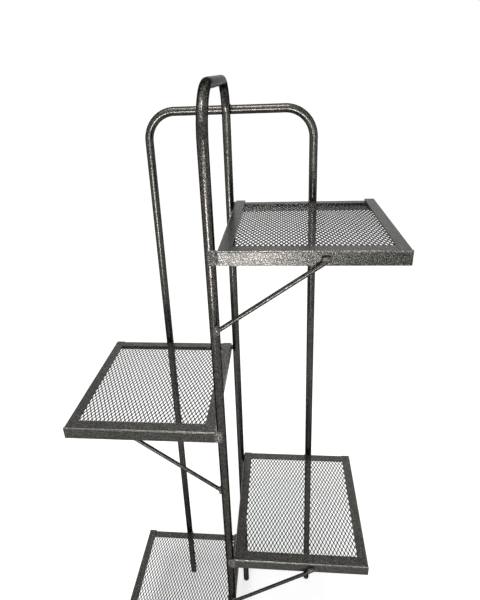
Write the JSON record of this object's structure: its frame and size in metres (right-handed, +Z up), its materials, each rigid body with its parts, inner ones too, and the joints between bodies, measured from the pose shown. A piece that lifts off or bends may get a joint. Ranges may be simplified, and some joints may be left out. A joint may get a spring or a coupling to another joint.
{
  "type": "tiered plant stand",
  "caption": "Welded steel plant stand whose square mesh shelves step down on alternate sides of bent tube hoops, each propped by a rod.",
  "frame": {"origin": "centre of the footprint of the whole stand, on the floor", "axes": "+X to the side of the first and third shelves, +Y from the front leg to the rear hoop, +Z up"},
  "size_m": [0.5634, 0.326, 1.3888],
  "materials": {
    "frame_paint": "graphite hammered enamel, half gloss",
    "deck_paint": "graphite hammered enamel on expanded metal",
    "weld_paint": "graphite hammered enamel over weld beads, glossier",
    "foot_plastic": "black, matt"
  },
  "bodies": {
    "root": {"centre_hoop": "frame_paint", "rear_hoop": "frame_paint", "crown_weld": "weld_paint", "foot_front": "foot_plastic", "foot_middle": "foot_plastic", "foot_left": "foot_plastic", "foot_right": "foot_plastic", "shelf1_inner_rail": "frame_paint", "shelf1_outer_rail": "frame_paint", "shelf1_front_rail": "frame_paint", "shelf1_rear_rail": "frame_paint", "shelf1_deck": "deck_paint", "shelf1_brace": "frame_paint", "shelf1_front_weld": "weld_paint", "shelf1_rear_weld": "weld_paint", "shelf1_back_weld": "weld_paint", "shelf1_brace_head_weld": "weld_paint", "shelf1_brace_foot_weld": "weld_paint", "shelf2_inner_rail": "frame_paint", "shelf2_outer_rail": "frame_paint", "shelf2_front_rail": "frame_paint", "shelf2_rear_rail": "frame_paint", "shelf2_deck": "deck_paint", "shelf2_brace": "frame_paint", "shelf2_front_weld": "weld_paint", "shelf2_rear_weld": "weld_paint", "shelf2_back_weld": "weld_paint", "shelf2_brace_head_weld": "weld_paint", "shelf2_brace_foot_weld": "weld_paint", "shelf3_inner_rail": "frame_paint", "shelf3_outer_rail": "frame_paint", "shelf3_front_rail": "frame_paint", "shelf3_rear_rail": "frame_paint", "shelf3_deck": "deck_paint", "shelf3_brace": "frame_paint", "shelf3_front_weld": "weld_paint", "shelf3_rear_weld": "weld_paint", "shelf3_back_weld": "weld_paint", "shelf3_brace_head_weld": "weld_paint", "shelf3_brace_foot_weld": "weld_paint", "shelf4_inner_rail": "frame_paint", "shelf4_outer_rail": "frame_paint", "shelf4_front_rail": "frame_paint", "shelf4_rear_rail": "frame_paint", "shelf4_deck": "deck_paint", "shelf4_brace": "frame_paint", "shelf4_front_weld": "weld_paint", "shelf4_rear_weld": "weld_paint", "shelf4_back_weld": "weld_paint", "shelf4_brace_head_weld": "weld_paint", "shelf4_brace_foot_weld": "weld_paint"}
  },
  "joints": []
}
